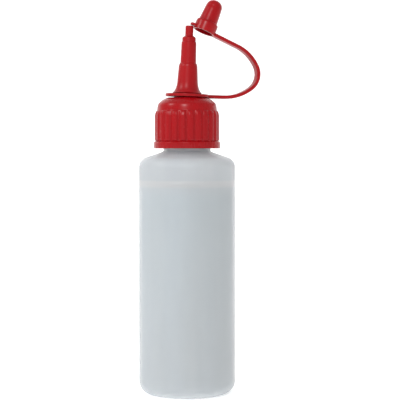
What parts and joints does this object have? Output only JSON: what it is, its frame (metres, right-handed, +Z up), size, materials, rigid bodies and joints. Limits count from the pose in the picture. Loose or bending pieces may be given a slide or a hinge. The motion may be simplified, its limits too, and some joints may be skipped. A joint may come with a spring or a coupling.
{
  "type": "glue applicator bottle",
  "caption": "Squeeze bottle for craft glue with a fine-tipped spout, a ribbed screw cap and a tip cap tethered by a bendy strap, shown open.",
  "frame": {"origin": "centre of the bottle's base, on the surface it stands on", "axes": "+Z up along the bottle's axis, +X towards the side where the strap loops out, +Y away from the viewer"},
  "size_m": [0.0511, 0.04, 0.1641],
  "materials": {
    "clear_polyethylene": "natural blow-moulded polyethylene, translucent with a soft sheen",
    "glue": "clear glue seen through the bottle's wall",
    "red_cap": "injection-moulded satin gloss",
    "red_spout": "injection-moulded satin gloss",
    "red_tether": "injection-moulded satin gloss"
  },
  "bodies": {
    "bottle": {"bottle": "clear_polyethylene", "glue_fill": "glue"},
    "spout": {"spout": "red_spout"},
    "screw_cap": {"screw_cap": "red_cap"},
    "tether_ring": {"tether_ring": "red_tether"},
    "strap_1": {"strap_1": "red_tether"},
    "strap_2": {"strap_2": "red_tether"},
    "strap_3": {"strap_3": "red_tether"},
    "strap_4": {"strap_4": "red_tether"},
    "tip_cap": {"tip_cap": "red_tether"}
  },
  "joints": [
    {"name": "spout_rise", "type": "slide", "parent": "bottle", "child": "spout", "axis": [0, 0, 1], "range_m": [0, 0.01431]},
    {"name": "cap_turn", "type": "hinge", "parent": "spout", "child": "screw_cap", "pos_m": [0, 0, 0.112], "axis": [0, 0, 1], "range_deg": [0, 1621]},
    {"name": "tether_swivel", "type": "hinge", "parent": "spout", "child": "tether_ring", "pos_m": [0, 0, 0.12297], "axis": [0.0349, 0, 0.9994], "continuous": true},
    {"name": "ring_flex", "type": "hinge", "parent": "tether_ring", "child": "strap_1", "pos_m": [0.00943, 0.00342, 0.12372], "axis": [-0.3418, 0.9397, 0.0119], "range_deg": [0, 5], "stiffness_Nm_per_rad": 0.002, "deforming": ["strap_1"]},
    {"name": "lower_flex", "type": "hinge", "parent": "strap_1", "child": "strap_2", "pos_m": [0.02155, 0.00782, 0.12464], "axis": [-0.3418, 0.9397, 0.0119], "range_deg": [0, 20], "stiffness_Nm_per_rad": 0.002, "deforming": ["strap_2"]},
    {"name": "strap_flex", "type": "hinge", "parent": "strap_2", "child": "strap_3", "pos_m": [0.02958, 0.01064, 0.13224], "axis": [-0.3418, 0.9397, 0.0119], "range_deg": [0, 25], "stiffness_Nm_per_rad": 0.002, "deforming": ["strap_3"]},
    {"name": "upper_flex", "type": "hinge", "parent": "strap_3", "child": "strap_4", "pos_m": [0.02472, 0.00874, 0.14246], "axis": [-0.3418, 0.9397, 0.0119], "range_deg": [0, 20], "stiffness_Nm_per_rad": 0.002, "deforming": ["strap_4"]},
    {"name": "cap_flex", "type": "hinge", "parent": "strap_4", "child": "tip_cap", "pos_m": [0.01299, 0.0044, 0.14865], "axis": [-0.3418, 0.9397, 0.0119], "range_deg": [0, 5], "stiffness_Nm_per_rad": 0.002}
  ],
  "couplings": [
    {"joint": "cap_turn", "follows": "spout_rise", "rad_per_m": 1975.8}
  ]
}
